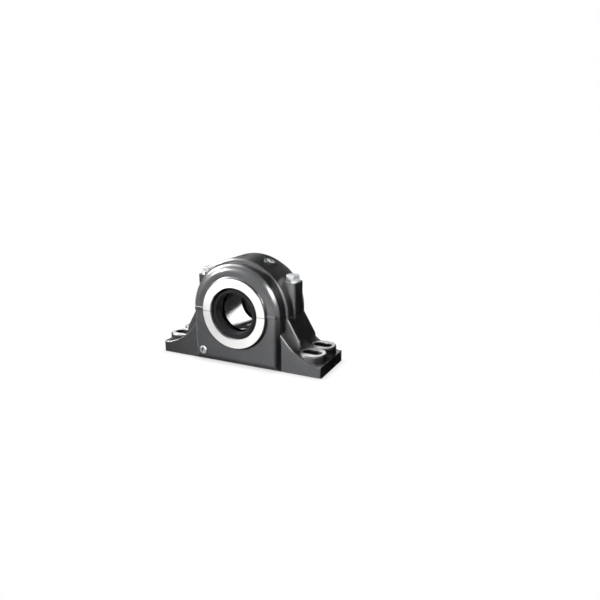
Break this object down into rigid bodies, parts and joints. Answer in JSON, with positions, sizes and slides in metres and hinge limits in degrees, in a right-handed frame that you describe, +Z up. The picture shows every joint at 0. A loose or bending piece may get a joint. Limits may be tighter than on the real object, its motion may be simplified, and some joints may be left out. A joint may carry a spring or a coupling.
{
  "type": "pillow block bearing",
  "caption": "Split cast pillow block with a self-aligning roller bearing on an adapter sleeve, labyrinth seals, and a slotted base that bolts to a frame to carry a turning shaft.",
  "frame": {"origin": "middle of the base's underside", "axes": "+X along the base, +Y along the shaft bore, +Z up"},
  "size_m": [0.282, 0.102, 0.164],
  "materials": {
    "painted_casting": "dark grey semi-gloss enamel over sand casting, machined bare on the hub faces",
    "zinc_plated_steel": "bright zinc plate",
    "bearing_steel": "ground",
    "polished_steel": "smooth turned bore",
    "blackened_steel": "black phosphate",
    "seal_rubber": "matt",
    "cage_brass": "machined"
  },
  "bodies": {
    "housing": {"housing_base": "painted_casting", "housing_cap": "painted_casting", "cap_bolt_left": "zinc_plated_steel", "cap_bolt_right": "zinc_plated_steel", "spring_washer_left": "zinc_plated_steel", "spring_washer_right": "zinc_plated_steel", "dowel_pin_left": "bearing_steel", "dowel_pin_right": "bearing_steel", "drain_plug": "zinc_plated_steel", "grease_plug": "zinc_plated_steel", "bearing_outer_ring": "bearing_steel", "stabilizing_ring": "bearing_steel"},
    "guide_ring": {"guide_ring": "bearing_steel"},
    "cages": {"cage_front": "cage_brass", "cage_rear": "cage_brass"},
    "shaft_set": {"adapter_sleeve": "polished_steel", "bearing_inner_ring": "bearing_steel", "lock_washer": "blackened_steel", "lock_nut": "blackened_steel", "seal_ring_front": "blackened_steel", "seal_ring_rear": "blackened_steel", "seal_o_ring_front": "seal_rubber", "seal_o_ring_rear": "seal_rubber"},
    "roller_front_01": {"roller_front_01": "bearing_steel"},
    "roller_front_02": {"roller_front_02": "bearing_steel"},
    "roller_front_03": {"roller_front_03": "bearing_steel"},
    "roller_front_04": {"roller_front_04": "bearing_steel"},
    "roller_front_05": {"roller_front_05": "bearing_steel"},
    "roller_front_06": {"roller_front_06": "bearing_steel"},
    "roller_front_07": {"roller_front_07": "bearing_steel"},
    "roller_front_08": {"roller_front_08": "bearing_steel"},
    "roller_front_09": {"roller_front_09": "bearing_steel"},
    "roller_front_10": {"roller_front_10": "bearing_steel"},
    "roller_front_11": {"roller_front_11": "bearing_steel"},
    "roller_front_12": {"roller_front_12": "bearing_steel"},
    "roller_front_13": {"roller_front_13": "bearing_steel"},
    "roller_front_14": {"roller_front_14": "bearing_steel"},
    "roller_front_15": {"roller_front_15": "bearing_steel"},
    "roller_front_16": {"roller_front_16": "bearing_steel"},
    "roller_rear_01": {"roller_rear_01": "bearing_steel"},
    "roller_rear_02": {"roller_rear_02": "bearing_steel"},
    "roller_rear_03": {"roller_rear_03": "bearing_steel"},
    "roller_rear_04": {"roller_rear_04": "bearing_steel"},
    "roller_rear_05": {"roller_rear_05": "bearing_steel"},
    "roller_rear_06": {"roller_rear_06": "bearing_steel"},
    "roller_rear_07": {"roller_rear_07": "bearing_steel"},
    "roller_rear_08": {"roller_rear_08": "bearing_steel"},
    "roller_rear_09": {"roller_rear_09": "bearing_steel"},
    "roller_rear_10": {"roller_rear_10": "bearing_steel"},
    "roller_rear_11": {"roller_rear_11": "bearing_steel"},
    "roller_rear_12": {"roller_rear_12": "bearing_steel"},
    "roller_rear_13": {"roller_rear_13": "bearing_steel"},
    "roller_rear_14": {"roller_rear_14": "bearing_steel"},
    "roller_rear_15": {"roller_rear_15": "bearing_steel"},
    "roller_rear_16": {"roller_rear_16": "bearing_steel"}
  },
  "joints": [
    {"name": "self_align_tilt", "type": "hinge", "parent": "housing", "child": "guide_ring", "pos_m": [0, 0.0065, 0.08255], "axis": [1, 0, 0], "range_deg": [-0.3, 0.3]},
    {"name": "shaft_spin", "type": "hinge", "parent": "guide_ring", "child": "shaft_set", "pos_m": [0, 0.0065, 0.08255], "axis": [0, 1, 0], "continuous": true},
    {"name": "cage_orbit", "type": "hinge", "parent": "guide_ring", "child": "cages", "pos_m": [0, 0.0065, 0.08255], "axis": [0, 1, 0], "continuous": true},
    {"name": "roller_front_01_spin", "type": "hinge", "parent": "cages", "child": "roller_front_01", "pos_m": [0.0514, -0.0017, 0.08255], "axis": [0.1575, 0.9875, 0], "continuous": true},
    {"name": "roller_front_02_spin", "type": "hinge", "parent": "cages", "child": "roller_front_02", "pos_m": [0.04749, -0.0017, 0.10222], "axis": [0.1456, 0.9875, 0.0603], "continuous": true},
    {"name": "roller_front_03_spin", "type": "hinge", "parent": "cages", "child": "roller_front_03", "pos_m": [0.03634, -0.0017, 0.11889], "axis": [0.1114, 0.9875, 0.1114], "continuous": true},
    {"name": "roller_front_04_spin", "type": "hinge", "parent": "cages", "child": "roller_front_04", "pos_m": [0.01967, -0.0017, 0.13004], "axis": [0.0603, 0.9875, 0.1456], "continuous": true},
    {"name": "roller_front_05_spin", "type": "hinge", "parent": "cages", "child": "roller_front_05", "pos_m": [0, -0.0017, 0.13395], "axis": [0, 0.9875, 0.1575], "continuous": true},
    {"name": "roller_front_06_spin", "type": "hinge", "parent": "cages", "child": "roller_front_06", "pos_m": [-0.01967, -0.0017, 0.13004], "axis": [-0.0603, 0.9875, 0.1456], "continuous": true},
    {"name": "roller_front_07_spin", "type": "hinge", "parent": "cages", "child": "roller_front_07", "pos_m": [-0.03634, -0.0017, 0.11889], "axis": [-0.1114, 0.9875, 0.1114], "continuous": true},
    {"name": "roller_front_08_spin", "type": "hinge", "parent": "cages", "child": "roller_front_08", "pos_m": [-0.04749, -0.0017, 0.10222], "axis": [-0.1456, 0.9875, 0.0603], "continuous": true},
    {"name": "roller_front_09_spin", "type": "hinge", "parent": "cages", "child": "roller_front_09", "pos_m": [-0.0514, -0.0017, 0.08255], "axis": [-0.1575, 0.9875, 0], "continuous": true},
    {"name": "roller_front_10_spin", "type": "hinge", "parent": "cages", "child": "roller_front_10", "pos_m": [-0.04749, -0.0017, 0.06288], "axis": [-0.1456, 0.9875, -0.0603], "continuous": true},
    {"name": "roller_front_11_spin", "type": "hinge", "parent": "cages", "child": "roller_front_11", "pos_m": [-0.03634, -0.0017, 0.04621], "axis": [-0.1114, 0.9875, -0.1114], "continuous": true},
    {"name": "roller_front_12_spin", "type": "hinge", "parent": "cages", "child": "roller_front_12", "pos_m": [-0.01967, -0.0017, 0.03506], "axis": [-0.0603, 0.9875, -0.1456], "continuous": true},
    {"name": "roller_front_13_spin", "type": "hinge", "parent": "cages", "child": "roller_front_13", "pos_m": [0, -0.0017, 0.03115], "axis": [0, 0.9875, -0.1575], "continuous": true},
    {"name": "roller_front_14_spin", "type": "hinge", "parent": "cages", "child": "roller_front_14", "pos_m": [0.01967, -0.0017, 0.03506], "axis": [0.0603, 0.9875, -0.1456], "continuous": true},
    {"name": "roller_front_15_spin", "type": "hinge", "parent": "cages", "child": "roller_front_15", "pos_m": [0.03634, -0.0017, 0.04621], "axis": [0.1114, 0.9875, -0.1114], "continuous": true},
    {"name": "roller_front_16_spin", "type": "hinge", "parent": "cages", "child": "roller_front_16", "pos_m": [0.04749, -0.0017, 0.06288], "axis": [0.1456, 0.9875, -0.0603], "continuous": true},
    {"name": "roller_rear_01_spin", "type": "hinge", "parent": "cages", "child": "roller_rear_01", "pos_m": [0.05041, 0.0147, 0.09258], "axis": [-0.1545, 0.9875, -0.0307], "continuous": true},
    {"name": "roller_rear_02_spin", "type": "hinge", "parent": "cages", "child": "roller_rear_02", "pos_m": [0.04274, 0.0147, 0.11111], "axis": [-0.131, 0.9875, -0.0875], "continuous": true},
    {"name": "roller_rear_03_spin", "type": "hinge", "parent": "cages", "child": "roller_rear_03", "pos_m": [0.02856, 0.0147, 0.12529], "axis": [-0.0875, 0.9875, -0.131], "continuous": true},
    {"name": "roller_rear_04_spin", "type": "hinge", "parent": "cages", "child": "roller_rear_04", "pos_m": [0.01003, 0.0147, 0.13296], "axis": [-0.0307, 0.9875, -0.1545], "continuous": true},
    {"name": "roller_rear_05_spin", "type": "hinge", "parent": "cages", "child": "roller_rear_05", "pos_m": [-0.01003, 0.0147, 0.13296], "axis": [0.0307, 0.9875, -0.1545], "continuous": true},
    {"name": "roller_rear_06_spin", "type": "hinge", "parent": "cages", "child": "roller_rear_06", "pos_m": [-0.02856, 0.0147, 0.12529], "axis": [0.0875, 0.9875, -0.131], "continuous": true},
    {"name": "roller_rear_07_spin", "type": "hinge", "parent": "cages", "child": "roller_rear_07", "pos_m": [-0.04274, 0.0147, 0.11111], "axis": [0.131, 0.9875, -0.0875], "continuous": true},
    {"name": "roller_rear_08_spin", "type": "hinge", "parent": "cages", "child": "roller_rear_08", "pos_m": [-0.05041, 0.0147, 0.09258], "axis": [0.1545, 0.9875, -0.0307], "continuous": true},
    {"name": "roller_rear_09_spin", "type": "hinge", "parent": "cages", "child": "roller_rear_09", "pos_m": [-0.05041, 0.0147, 0.07252], "axis": [0.1545, 0.9875, 0.0307], "continuous": true},
    {"name": "roller_rear_10_spin", "type": "hinge", "parent": "cages", "child": "roller_rear_10", "pos_m": [-0.04274, 0.0147, 0.05399], "axis": [0.131, 0.9875, 0.0875], "continuous": true},
    {"name": "roller_rear_11_spin", "type": "hinge", "parent": "cages", "child": "roller_rear_11", "pos_m": [-0.02856, 0.0147, 0.03981], "axis": [0.0875, 0.9875, 0.131], "continuous": true},
    {"name": "roller_rear_12_spin", "type": "hinge", "parent": "cages", "child": "roller_rear_12", "pos_m": [-0.01003, 0.0147, 0.03214], "axis": [0.0307, 0.9875, 0.1545], "continuous": true},
    {"name": "roller_rear_13_spin", "type": "hinge", "parent": "cages", "child": "roller_rear_13", "pos_m": [0.01003, 0.0147, 0.03214], "axis": [-0.0307, 0.9875, 0.1545], "continuous": true},
    {"name": "roller_rear_14_spin", "type": "hinge", "parent": "cages", "child": "roller_rear_14", "pos_m": [0.02856, 0.0147, 0.03981], "axis": [-0.0875, 0.9875, 0.131], "continuous": true},
    {"name": "roller_rear_15_spin", "type": "hinge", "parent": "cages", "child": "roller_rear_15", "pos_m": [0.04274, 0.0147, 0.05399], "axis": [-0.131, 0.9875, 0.0875], "continuous": true},
    {"name": "roller_rear_16_spin", "type": "hinge", "parent": "cages", "child": "roller_rear_16", "pos_m": [0.05041, 0.0147, 0.07252], "axis": [-0.1545, 0.9875, 0.0307], "continuous": true}
  ],
  "couplings": [
    {"joint": "cage_orbit", "follows": "shaft_spin", "ratio": 0.42986},
    {"joint": "roller_front_01_spin", "follows": "shaft_spin", "ratio": -3.4506},
    {"joint": "roller_front_02_spin", "follows": "shaft_spin", "ratio": -3.4506},
    {"joint": "roller_front_03_spin", "follows": "shaft_spin", "ratio": -3.4506},
    {"joint": "roller_front_04_spin", "follows": "shaft_spin", "ratio": -3.4506},
    {"joint": "roller_front_05_spin", "follows": "shaft_spin", "ratio": -3.4506},
    {"joint": "roller_front_06_spin", "follows": "shaft_spin", "ratio": -3.4506},
    {"joint": "roller_front_07_spin", "follows": "shaft_spin", "ratio": -3.4506},
    {"joint": "roller_front_08_spin", "follows": "shaft_spin", "ratio": -3.4506},
    {"joint": "roller_front_09_spin", "follows": "shaft_spin", "ratio": -3.4506},
    {"joint": "roller_front_10_spin", "follows": "shaft_spin", "ratio": -3.4506},
    {"joint": "roller_front_11_spin", "follows": "shaft_spin", "ratio": -3.4506},
    {"joint": "roller_front_12_spin", "follows": "shaft_spin", "ratio": -3.4506},
    {"joint": "roller_front_13_spin", "follows": "shaft_spin", "ratio": -3.4506},
    {"joint": "roller_front_14_spin", "follows": "shaft_spin", "ratio": -3.4506},
    {"joint": "roller_front_15_spin", "follows": "shaft_spin", "ratio": -3.4506},
    {"joint": "roller_front_16_spin", "follows": "shaft_spin", "ratio": -3.4506},
    {"joint": "roller_rear_01_spin", "follows": "shaft_spin", "ratio": -3.4506},
    {"joint": "roller_rear_02_spin", "follows": "shaft_spin", "ratio": -3.4506},
    {"joint": "roller_rear_03_spin", "follows": "shaft_spin", "ratio": -3.4506},
    {"joint": "roller_rear_04_spin", "follows": "shaft_spin", "ratio": -3.4506},
    {"joint": "roller_rear_05_spin", "follows": "shaft_spin", "ratio": -3.4506},
    {"joint": "roller_rear_06_spin", "follows": "shaft_spin", "ratio": -3.4506},
    {"joint": "roller_rear_07_spin", "follows": "shaft_spin", "ratio": -3.4506},
    {"joint": "roller_rear_08_spin", "follows": "shaft_spin", "ratio": -3.4506},
    {"joint": "roller_rear_09_spin", "follows": "shaft_spin", "ratio": -3.4506},
    {"joint": "roller_rear_10_spin", "follows": "shaft_spin", "ratio": -3.4506},
    {"joint": "roller_rear_11_spin", "follows": "shaft_spin", "ratio": -3.4506},
    {"joint": "roller_rear_12_spin", "follows": "shaft_spin", "ratio": -3.4506},
    {"joint": "roller_rear_13_spin", "follows": "shaft_spin", "ratio": -3.4506},
    {"joint": "roller_rear_14_spin", "follows": "shaft_spin", "ratio": -3.4506},
    {"joint": "roller_rear_15_spin", "follows": "shaft_spin", "ratio": -3.4506},
    {"joint": "roller_rear_16_spin", "follows": "shaft_spin", "ratio": -3.4506}
  ]
}
